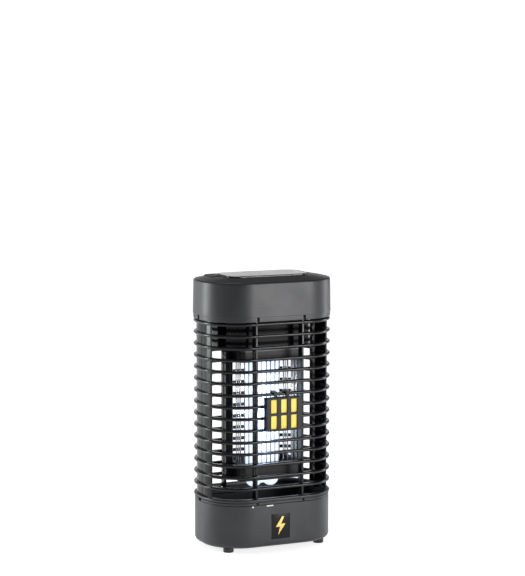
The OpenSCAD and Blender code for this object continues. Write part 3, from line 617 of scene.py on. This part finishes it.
# %% Notches over the ribs
rib_boxes = solids("guard_ribs")
wall_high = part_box("end_walls")[1]
for side in (-1, 1):
    rib_boxes.append((Vector((side * wall_high[0], -MM, 0)), Vector((side * wall_high[0], MM, 0))))
notches = bmesh.new()
notch_wide = 4.0 * MM
notch_top = cap_low[2] + 5.0 * MM
deep = 6.0 * MM
for low, high in rib_boxes:
    middle = (low + high) / 2
    if abs(middle.y) > abs(high.y - low.y) and abs(middle.x) < half_x - deep:
        side = math.copysign(1.0, middle.y)
        near = sorted((side * (half_y + overhang + MM), side * (half_y + overhang - deep)))
        block(notches, (middle.x - notch_wide / 2, near[0], cap_low[2] - MM),
              (middle.x + notch_wide / 2, near[1], notch_top), 0.6 * MM)
    else:
        side = math.copysign(1.0, middle.x)
        near = sorted((side * (half_x + overhang + MM), side * (half_x + overhang - deep)))
        block(notches, (near[0], middle.y - notch_wide / 2, cap_low[2] - MM),
              (near[1], middle.y + notch_wide / 2, notch_top), 0.6 * MM)
cut(cap_shell, notches, "rib notches")

# %% Hole for the cord inlet
inlet_low, inlet_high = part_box("cord_inlet_bush")
inlet_x = (inlet_low[0] + inlet_high[0]) / 2
inlet_z = (inlet_low[2] + inlet_high[2]) / 2
inlet_hole = bmesh.new()
spun(inlet_hole, [(0, -6 * MM), (6.1 * MM, -6 * MM), (6.1 * MM, 6 * MM), (0, 6 * MM)],
     (inlet_x, half_y, inlet_z), (0, 1, 0), 40)
close_and_turn_out(inlet_hole)
cut(cap_shell, inlet_hole, "inlet hole")

# %% Raised deck
deck_x = handle_high[0] - handle_wide - 2 * MM
deck_front = -24.0 * MM
deck_back = reach_back - handle_wide - 2 * MM
deck_top = cap_high[2]
deck = bmesh.new()
block(deck, (-deck_x, deck_front, ceiling + 2 * MM), (deck_x, deck_back, deck_top))
uprights = [e for e in deck.edges if abs(e.verts[0].co.z - e.verts[1].co.z) > MM]
bmesh.ops.bevel(deck, geom=uprights, offset=12 * MM, offset_type="OFFSET", segments=12,
                profile=0.5, affect="EDGES", material=-1)
rims = [e for e in deck.edges if all(v.co.z > deck_top - 0.01 * MM for v in e.verts)]
bmesh.ops.bevel(deck, geom=rims, offset=0.9 * MM, offset_type="OFFSET", segments=4,
                profile=0.5, affect="EDGES", material=-1)
bmesh.ops.recalc_face_normals(deck, faces=deck.faces)
raised_deck = finish_piece("raised_deck", deck, "housing", polished_black)
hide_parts("top_cover")

for moulding in (cap_shell, raised_deck):
    evened = moulding.modifiers.new("even shading", "WEIGHTED_NORMAL")
    evened.keep_sharp = True
    evened.weight = 80

# %% Handle and its two pins
grip = bmesh.new()
grip_section = rounded_section(handle_wide, handle_low[2], handle_high[2], 1.5 * MM, 5)
carry_u(grip, grip_section, 0.0, handle_high[0], reach_back, bend)
ends = [f for f in grip.faces if all(abs(v.co.y) < 0.01 * MM for v in f.verts)]
tip = (handle_high[2] - handle_low[2]) / 2
grown = bmesh.ops.extrude_discrete_faces(grip, faces=ends)["faces"]
for face in grown:
    bmesh.ops.translate(grip, verts=face.verts, vec=(0, -1.1 * MM, 0))
    middle = face.calc_center_median()
    bmesh.ops.scale(grip, vec=(0.94, 1, 0.86), verts=face.verts, space=Matrix.Translation(-middle))
    more = bmesh.ops.extrude_discrete_faces(grip, faces=[face])["faces"][0]
    bmesh.ops.translate(grip, verts=more.verts, vec=(0, -(tip - 1.1 * MM), 0))
    bmesh.ops.scale(grip, vec=(0.84, 1, 0.45), verts=more.verts, space=Matrix.Translation(-middle))
bmesh.ops.recalc_face_normals(grip, faces=grip.faces)
carrying_handle = finish_piece("carrying_handle", grip, "handle", handle_black, 50)
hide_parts("carry_handle")

pins = bmesh.new()
pin_boxes = solids("handle_pins")
for low, high in pin_boxes:
    radius = (high.z - low.z) / 2
    half = (high.x - low.x) / 2
    ease = 0.3 * MM
    shape = [(0, -half), (radius - ease, -half), (radius, -half + ease)]
    shape += [(radius, half - ease), (radius - ease, half), (0, half)]
    spun(pins, shape, (low + high) / 2, (1, 0, 0), 24)
close_and_turn_out(pins)
pivot_pins = finish_piece("pivot_pins", pins, "housing", steel_plate)
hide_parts("handle_pins")

# %% [markdown]
# ## The cord inlet
#
# The mains lead enters the cap at the back through a round bush with a flange on each side
# of the wall. It is a turned part, so its whole section, bore included, is one closed
# outline given a full spin.

# %% Inlet bush
bush = bmesh.new()
back = inlet_high[1] - inlet_low[1]
flange_at = back - 7.6 * MM
bore = 3.6 * MM
neck = 6.0 * MM
flange = 8.5 * MM
outline = [
    (bore, 0.4 * MM), (bore + 0.4 * MM, 0), (neck - 0.4 * MM, 0), (neck, 0.4 * MM),
    (neck, 3.0 * MM), (flange - 0.3 * MM, 3.0 * MM), (flange, 3.3 * MM), (flange, 6.0 * MM),
    (neck, 6.0 * MM), (neck, flange_at), (flange, flange_at), (flange, flange_at + 1.3 * MM),
    (flange - 0.2 * MM, flange_at + 1.8 * MM), (flange - 0.8 * MM, flange_at + 2.0 * MM),
    (neck + 0.5 * MM, flange_at + 2.0 * MM), (neck + 0.1 * MM, flange_at + 2.4 * MM),
    (neck - 0.3 * MM, back - 1.2 * MM), (neck - 0.8 * MM, back - 0.3 * MM), (neck - 1.4 * MM, back),
    (bore + 0.7 * MM, back), (bore, back - 0.7 * MM), (bore, 0.4 * MM),
]
spun(bush, outline, (inlet_x, inlet_low[1], inlet_z), (0, 1, 0), 48)
bmesh.ops.remove_doubles(bush, verts=bush.verts, dist=0.002 * MM)
bmesh.ops.recalc_face_normals(bush, faces=bush.faces)
inlet_bush = finish_piece("inlet_bush", bush, "housing", rubber_black)
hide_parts("cord_inlet_bush")

# %% [markdown]
# ## The tray
#
# What falls from the grid lands in a deep tray, which drops out from below for emptying.
# Its section has a soft bottom edge, a floor, and a collar that plugs into the rim. Two
# pale marks just under the joint show how it lines up. Their seats and the badge's shallow
# square pocket are cut after the tray is carried round.

# %% Tray section
tray_low, tray_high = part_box("collection_tray")
tray_in = half_y - tray_high[1]
skin = 2.2 * MM
floor = tray_low[2] + 2.5 * MM
inside_r = 2.5 * MM
tray_top = rim_low[2]
fillet = 4.6 * MM
collar_out = wall_in - 0.3 * MM
tray_points = (
    [(-corner, tray_low[2]), (-tray_in - fillet, tray_low[2])]
    + arc(-tray_in - fillet, tray_low[2] + fillet, fillet, -90, 0, 9)[1:]
    + [(-tray_in, tray_top - 0.4 * MM), (-tray_in - 0.3 * MM, tray_top)]
    + [(collar_out, tray_top), (collar_out, tray_high[2] - 0.6 * MM)]
    + [(collar_out - 0.5 * MM, tray_high[2]), (collar_out - skin + 0.3 * MM, tray_high[2])]
    + [(collar_out - skin, tray_high[2] - 0.3 * MM), (collar_out - skin, tray_top - 4 * MM)]
    + [(-tray_in - skin, tray_top - 5.5 * MM), (-tray_in - skin, floor + inside_r)]
    + arc(-tray_in - skin - inside_r, floor + inside_r, inside_r, 0, -90, 4)[1:]
    + [(-corner, floor)]
)
bowl = bmesh.new()
carry_round(bowl, tray_points, steps=24)
close_and_turn_out(bowl)
catch_tray = finish_piece("catch_tray", bowl, "tray", tray_black)
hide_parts("collection_tray")

# %% Marks let into the tray just under the joint
mark_boxes = solids("seam_marks")
gap = 0.05 * MM
seats = bmesh.new()
marks = bmesh.new()
for low, high in mark_boxes:
    wide = high.x - low.x
    tall = high.z - low.z
    if wide > tall * 1.5:
        block(seats, (low.x, low.y - MM, low.z), (high.x, high.y, high.z), 0.1 * MM)
        block(marks, (low.x + gap, low.y, low.z + gap), (high.x - gap, high.y, high.z - gap), 0.18 * MM)
    else:
        middle = (low + high) / 2
        spun(seats, [(0, -0.25 * MM), (tall / 2, -0.25 * MM), (tall / 2, MM), (0, MM)],
             middle, (0, -1, 0), 32)
        dome = [(0, -0.25 * MM), (tall / 2 - gap, -0.25 * MM)]
        dome += arc(tall / 2 - gap - 0.15 * MM, 0.1 * MM, 0.15 * MM, 0, 90, 3) + [(0, 0.25 * MM)]
        spun(marks, dome, middle, (0, -1, 0), 32)
bmesh.ops.recalc_face_normals(seats, faces=seats.faces)
cut(catch_tray, seats, "mark seats")
close_and_turn_out(marks)
tray_marks = finish_piece("tray_marks", marks, "tray", mark_white)
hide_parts("seam_marks")

# %% Badge pocket, plate and bolt
plate_low, plate_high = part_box("badge_plate")
room = 0.1 * MM
pocket = bmesh.new()
block(pocket, (plate_low[0] - room, -half_y, plate_low[2] - room),
      (plate_high[0] + room, plate_high[1], plate_high[2] + room), 0.25 * MM, 2)
cut(catch_tray, pocket, "badge pocket")
plate = bmesh.new()
block(plate, plate_low, plate_high, 0.3 * MM)
badge = finish_piece("badge_plate_face", plate, "tray", badge_black)
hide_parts("badge_plate")

bolt_low, bolt_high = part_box("badge_emblem")
emblem = bmesh.new()
outline = [(0.075, 0.39), (-0.275, -0.03), (-0.04, -0.03), (-0.14, -0.37),
           (0.275, 0.095), (0.035, 0.095), (0.21, 0.39)]
plate_wide = plate_high[0] - plate_low[0]
plate_tall = plate_high[2] - plate_low[2]
middle_z = (plate_low[2] + plate_high[2]) / 2
front = [emblem.verts.new((x * plate_wide, bolt_high[1], middle_z + z * plate_tall)) for x, z in outline]
face = emblem.faces.new(front)
grown = bmesh.ops.extrude_face_region(emblem, geom=[face])["geom"]
raised = [g for g in grown if isinstance(g, bmesh.types.BMVert)]
bmesh.ops.translate(emblem, verts=raised, vec=(0, bolt_low[1] - bolt_high[1], 0))
bmesh.ops.recalc_face_normals(emblem, faces=emblem.faces)
lip = [e for e in emblem.edges if all(abs(v.co.y - bolt_low[1]) < 0.001 * MM for v in e.verts)]
bmesh.ops.bevel(emblem, geom=lip, offset=0.18 * MM, offset_type="OFFSET", segments=2,
                profile=0.5, affect="EDGES", material=-1)
bolt = finish_piece("bolt_emblem", emblem, "tray", foil_gold, 25)
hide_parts("badge_emblem")

# %% Feet
feet = bmesh.new()
for low, high in solids("tray_feet"):
    radius = (high.x - low.x) / 2
    tall = high.z - low.z
    shape = [(0, 0.5 * MM), (radius - 2.4 * MM, 0.5 * MM), (radius - 2.0 * MM, 0), (radius - 0.7 * MM, 0)]
    shape += arc(radius - 0.7 * MM, 0.7 * MM, 0.7 * MM, -90, 0, 4)[1:] + [(radius, tall), (0, tall)]
    middle = (low + high) / 2
    spun(feet, shape, (middle.x, middle.y, low.z), (0, 0, 1), 32)
close_and_turn_out(feet)
rubber_feet = finish_piece("rubber_feet", feet, "tray", rubber_black)
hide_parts("tray_feet")

# %% [markdown]
# ## The lure
#
# A small cartridge hangs on the front bands and holds a scented pad behind six windows.
# The face is a block with the windows cut out of it, and every edge is eased afterwards
# so that the bars between the windows catch light.

# %% Lure face, pad and back
case_low, case_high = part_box("lure_case")
pad_low, pad_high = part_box("lure_pad")
face_thick = 1.6 * MM
case = bmesh.new()
uprights = block(case, case_low, case_high)
case_edges = [e for e in case.edges if abs(e.verts[0].co.y - e.verts[1].co.y) > MM]
bmesh.ops.bevel(case, geom=case_edges, offset=1.6 * MM, offset_type="OFFSET", segments=4,
                profile=0.5, affect="EDGES", material=-1)
lure_face = finish_piece("lure_face", case, "lure", insulator_black)
hollow = bmesh.new()
frame_edge = 2.0 * MM
block(hollow, (case_low[0] + frame_edge, case_low[1] + face_thick, case_low[2] + frame_edge),
      (case_high[0] - frame_edge, case_high[1] + MM, case_high[2] - frame_edge))
cut(lure_face, hollow, "pad hollow")
windows = bmesh.new()
centre = (Vector(case_low) + Vector(case_high)) / 2
window_pitch = (11.4 * MM, 16.8 * MM)
half_window = (3.55 * MM, 7.1 * MM)
for column in (-1, 0, 1):
    for row in (-0.5, 0.5):
        x = centre.x + column * window_pitch[0]
        z = centre.z + row * window_pitch[1]
        made = block(windows, (x - half_window[0], case_low[1] - MM, z - half_window[1]),
                     (x + half_window[0], case_low[1] + 4 * MM, z + half_window[1]))
        long_edges = [e for e in {e for v in made for e in v.link_edges}
                      if abs(e.verts[0].co.y - e.verts[1].co.y) > MM]
        bmesh.ops.bevel(windows, geom=long_edges, offset=0.8 * MM, offset_type="OFFSET", segments=3,
                        profile=0.5, affect="EDGES", material=-1)
cut(lure_face, windows, "lure windows")
rounding = lure_face.modifiers.new("eased edges", "BEVEL")
rounding.width = 0.3 * MM
rounding.segments = 2
rounding.angle_limit = math.radians(50)
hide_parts("lure_case")

pad = bmesh.new()
block(pad, pad_low, pad_high, 0.4 * MM)
scent_pad = finish_piece("scent_pad", pad, "lure", pad_yellow)
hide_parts("lure_pad")
eased_copy("lure_back", "lure_hooks", "lure", insulator_black, 0.3 * MM)

# %% [markdown]
# ## The grid
#
# Upright wires stand alternately in two moulded frames, so that neighbours belong to
# opposite sides of the supply. There are dozens, so each is a plain turned pin with a
# domed end and only twelve sides: round enough at that size, and light to draw.

# %% Wires
def wire_row(node, name):
    bm = bmesh.new()
    boxes = solids(node)
    for low, high in boxes:
        radius = (high.x - low.x) / 2
        tall = high.z - low.z
        ease = radius * 0.6
        shape = [(0, 0), (radius - ease, 0), (radius, ease), (radius, tall - ease)]
        shape += [(radius - ease, tall), (0, tall)]
        middle = (low + high) / 2
        spun(bm, shape, (middle.x, middle.y, low.z), (0, 0, 1), 12)
    close_and_turn_out(bm)
    piece = finish_piece(name, bm, "housing", wire_steel, 60)
    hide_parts(node)
    print(name, len(boxes), "wires")
    return piece


wire_row("live_wires", "live_grid_wires")
wire_row("return_wires", "return_grid_wires")

# %% Frames, posts, strips and leads
eased_copy("upper_grid_frame", "upper_frame", "housing", insulator_black)
eased_copy("lower_grid_frame", "lower_frame", "housing", insulator_black)
eased_copy("post_left", "left_post", "housing", gloss_black, 0.6 * MM, 3)
eased_copy("post_right", "right_post", "housing", gloss_black, 0.6 * MM, 3)
eased_copy("live_bus", "live_strip", "housing", strip_tin, 0.1 * MM, 1)
eased_copy("return_bus", "return_strip", "housing", strip_tin, 0.1 * MM, 1)
eased_copy("live_lead", "red_wire", "housing", lead_red, 0.1 * MM, 1)
eased_copy("return_lead", "blue_wire", "housing", lead_dark, 0.1 * MM, 1)

# %% [markdown]
# ## The lamp
#
# The lamp is a folded tube: two legs side by side, joined by a short bridge near the tip,
# standing in a white cap with two pins. It is lit, so the glass is a lamp in the scene as
# well. Each leg is a section spun about its own axis, and the bridge is joined to them.

# %% Lamp tubes
glass_low, glass_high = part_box("lamp_tubes")
leg_r = (glass_high[1] - glass_low[1]) / 2
leg_x = glass_high[0] - leg_r
tip_z = glass_low[2]
legs = bmesh.new()
for side in (-1, 1):
    shape = arc(0, leg_r, leg_r, -90, 0, 10) + [(leg_r, glass_high[2] - tip_z), (0, glass_high[2] - tip_z)]
    spun(legs, shape, (side * leg_x, 0, tip_z), (0, 0, 1), 40)
close_and_turn_out(legs)
lamp_glass = finish_piece("lamp_glass", legs, "lamp", lamp_light, 50)
bridge = bmesh.new()
spun(bridge, [(0, -leg_x), (leg_r * 0.6, -leg_x), (leg_r * 0.6, leg_x), (0, leg_x)],
     (0, 0, tip_z + leg_r), (1, 0, 0), 32)
close_and_turn_out(bridge)
bridge_mesh = bpy.data.meshes.new("bridge")
bridge.to_mesh(bridge_mesh)
bridge.free()
bridge_tool = bpy.data.objects.new("bridge", bridge_mesh)
bpy.context.scene.collection.objects.link(bridge_tool)
joining = lamp_glass.modifiers.new("bridge", "BOOLEAN")
joining.operation = "UNION"
joining.solver = "EXACT"
joining.object = bridge_tool
joined = bpy.data.meshes.new_from_object(
    lamp_glass.evaluated_get(bpy.context.evaluated_depsgraph_get())
)
lamp_glass.modifiers.clear()
lamp_glass.data = joined
bpy.data.objects.remove(bridge_tool)
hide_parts("lamp_tubes")

# %% Lamp cap, pins and holder
eased_copy("lamp_cap", "lamp_base", "lamp", lamp_cap_white, 0.5 * MM, 3)
eased_copy("lamp_pins", "lamp_contacts", "lamp", strip_brass, 0.3 * MM, 2)
eased_copy("lamp_holder", "lamp_socket", "housing", socket_white, 0.4 * MM)

# %% [markdown]
# ## The housing under the cap and what it carries
#
# A glossy drum hangs below the cap, and the circuit stands above it out of sight. These
# pieces keep the CAD shape: a merged copy with its edges eased is enough, because the
# holes and posts in it are already exact.

# %% Housing and circuit
eased_copy("chassis_pan", "lamp_housing", "housing", gloss_black, 0.5 * MM, 3)
eased_copy("circuit_board", "circuit_card", "housing", board_green, 0.1 * MM, 1)
eased_copy("hv_transformer", "transformer", "housing", winding_copper, 0.5 * MM, 3)
eased_copy("ballast_choke", "choke", "housing", choke_grey, 0.6 * MM, 3)
eased_copy("capacitors", "capacitor_set", "housing", dipped_amber, 1.6 * MM, 4)

# %% Screws: domed heads with a cross recess
def screw_set(node, name, head_first, head_tall):
    bm = bmesh.new()
    recess = bmesh.new()
    for low, high in solids(node):
        middle = (low + high) / 2
        span = [high[i] - low[i] for i in range(3)]
        along = max(range(3), key=lambda i: span[i])
        radius = min(span[i] for i in range(3) if i != along) / 2
        direction = Vector((0, 0, 0))
        direction[along] = head_first(middle)
        start = middle - direction * span[along] / 2
        thread = radius * 0.52
        shape = [(0, 0), (radius * 0.55, 0.08 * head_tall), (radius * 0.85, 0.3 * head_tall)]
        shape += [(radius, 0.65 * head_tall), (radius, head_tall), (thread, head_tall)]
        shape += [(thread, span[along] - thread), (0.1 * thread, span[along]), (0, span[along])]
        spun(bm, shape, start, direction, 28)
        arm = radius * 0.58
        slim = radius * 0.14
        for turned in (0, 1):
            size = Vector((slim, slim, slim))
            others = [i for i in range(3) if i != along]
            size[others[turned]] = arm
            size[along] = head_tall * 0.55
            block(recess, start - size, start + size)
    close_and_turn_out(bm)
    piece = finish_piece(name, bm, "housing", steel_plate)
    bmesh.ops.recalc_face_normals(recess, faces=recess.faces)
    cut(piece, recess, name + "_cross", crossing=True)
    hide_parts(node)
    return piece


screw_set("chassis_screws", "pan_screws", lambda m: 1, 2.2 * MM)
screw_set("board_screws", "card_screws", lambda m: -1, 1.6 * MM)
screw_set("post_screws", "post_top_screws", lambda m: -1, 2.0 * MM)
screw_set("frame_screws", "frame_side_screws", lambda m: -math.copysign(1, m.x), 1.2 * MM)

# %% [markdown]
# ## Floor, light and camera
#
# The lantern stands on a pale sweep that curves up behind it, so no horizon shows. Black
# plastic is lit by what it reflects, so most of the room is left dim: the floor fades
# towards the front, and the world is a low grey. A soft panel low on the right draws the
# cap's flat face, one behind on the left draws the edge, and a small blue lamp between the
# glass and the wires spreads the tube's own glow over the dark frames.

# %% Pale sweep
sweep = bmesh.new()
half_wide = 2.6
curve_r = 0.7
curve_start = 2.1
wall_top = 0.95
profile = [(-3.0, 0.0), (-0.75, 0.0), (curve_start, 0.0)]
profile += arc(curve_start, curve_r, curve_r, -80, 0, 8)
profile += [(curve_start + curve_r, wall_top)]
verts = [sweep.verts.new((-half_wide, y, z)) for y, z in profile]
edges = [sweep.edges.new(pair) for pair in zip(verts, verts[1:])]
grown = bmesh.ops.extrude_edge_only(sweep, edges=edges)["geom"]
moved = [g for g in grown if isinstance(g, bmesh.types.BMVert)]
bmesh.ops.translate(sweep, verts=moved, vec=(2 * half_wide, 0, 0))
bmesh.ops.recalc_face_normals(sweep, faces=sweep.faces)
sweep_mesh = bpy.data.meshes.new("pale_sweep")
sweep.to_mesh(sweep_mesh)
sweep.free()
sweep_mesh.shade_smooth()
pale_sweep = bpy.data.objects.new("pale_sweep", sweep_mesh)
bpy.context.scene.collection.objects.link(pale_sweep)
paper, n, links, shader = blank("pale_paper")
shader.inputs["Base Color"].default_value = (0.88, 0.88, 0.88, 1.0)
shader.inputs["Roughness"].default_value = 0.9
shader.inputs["Emission Color"].default_value = (1.0, 1.0, 1.0, 1.0)
split = n.new("ShaderNodeSeparateXYZ")
links.new(n.new("ShaderNodeTexCoord").outputs["Object"], split.inputs["Vector"])
fade_front = -1.3
fade_back = -0.5
dim_paper = 0.12
bright_paper = 0.72
brightness = spread(n, links, split.outputs["Y"], fade_front, fade_back, dim_paper, bright_paper)
links.new(brightness, shader.inputs["Emission Strength"])
sweep_mesh.materials.append(paper)
pale_sweep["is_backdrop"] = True

# %% Soft panels
def soft_panel(name, place, aim, wide, tall, power, tint=(1.0, 1.0, 1.0)):
    lamp = bpy.data.lights.new(name, "AREA")
    lamp.shape = "RECTANGLE"
    lamp.size = wide
    lamp.size_y = tall
    lamp.energy = power
    lamp.color = tint
    panel = bpy.data.objects.new(name, lamp)
    panel.location = place
    panel.rotation_euler = (Vector(aim) - Vector(place)).to_track_quat("-Z", "Y").to_euler()
    bpy.context.scene.collection.objects.link(panel)
    return panel


middle = (0.0, 0.0, 0.16)
soft_panel("left_panel", (-1.25, 0.85, 0.4), middle, 0.45, 0.9, 17.0, (0.95, 0.99, 1.0))
soft_panel("right_panel", (0.95, -1.75, 0.38), middle, 0.9, 0.55, 25.0)
soft_panel("far_right_panel", (1.5, 0.1, 0.35), middle, 0.3, 0.8, 6.0)
soft_panel("top_panel", (-0.2, 0.3, 1.9), middle, 1.2, 0.9, 7.0)

# %% Glow of the tube and the dim room
glow = bpy.data.lights.new("lamp_glow", "POINT")
glow.energy = 0.10
glow.color = (0.35, 0.55, 1.0)
glow.shadow_soft_size = 4 * MM
lamp_glow = bpy.data.objects.new("lamp_glow", glow)
lamp_glow.location = (0.0, glass_low[1] - 6 * MM, (glass_low[2] + glass_high[2]) / 2)
bpy.context.scene.collection.objects.link(lamp_glow)
world = bpy.data.worlds.new("pale_room")
bpy.context.scene.world = world
world.use_nodes = True
world.node_tree.nodes["Background"].inputs["Color"].default_value = (1.0, 1.0, 1.0, 1.0)
world.node_tree.nodes["Background"].inputs["Strength"].default_value = 0.14
bpy.context.scene.view_settings.view_transform = "Standard"

# %% Camera
eye = Vector((-0.8803, -1.9227, 0.5097))
aim = Vector((0.0006, -0.0003, 0.2719))
view = bpy.data.cameras.new("front_left_camera")
view.sensor_width = 36.0
view.sensor_fit = "AUTO"
view.lens = 126.2
camera = bpy.data.objects.new("front_left_camera", view)
camera.location = eye
camera.rotation_euler = (aim - eye).to_track_quat("-Z", "Y").to_euler()
bpy.context.scene.collection.objects.link(camera)
bpy.context.scene.camera = camera

# %% Print the visual box and finish
low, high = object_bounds()
print("visual box in mm:", [round(v / MM, 1) for v in (*low, *high)])
